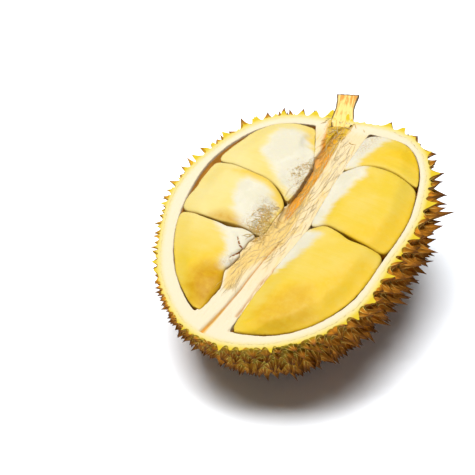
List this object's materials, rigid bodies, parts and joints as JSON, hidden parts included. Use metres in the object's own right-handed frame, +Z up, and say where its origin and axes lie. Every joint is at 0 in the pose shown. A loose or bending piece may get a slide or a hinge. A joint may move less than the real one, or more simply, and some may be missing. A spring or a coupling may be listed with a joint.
{
  "type": "half durian fruit",
  "caption": "Half of a spiny durian fruit, cut lengthwise through its short stalk and lying on its back, with golden flesh lobes in two chambers.",
  "frame": {"origin": "middle of the footprint, at the height of the blunted spine tips that the fruit rests on", "axes": "+Z up, +Y along the fruit towards the stalk, +X across the cut face to the right when the stalk points away"},
  "size_m": [0.2016, 0.2368, 0.1245],
  "materials": {
    "rind": "satin",
    "pith": "matte",
    "stalk": "matte",
    "flesh": "satin"
  },
  "bodies": {
    "root": {"spiny_rind": "rind", "pith": "pith", "stalk": "stalk", "flesh_left_lower": "flesh", "flesh_left_middle": "flesh", "flesh_left_upper": "flesh", "flesh_right_lower": "flesh", "flesh_right_middle": "flesh", "flesh_right_upper": "flesh"}
  },
  "joints": []
}
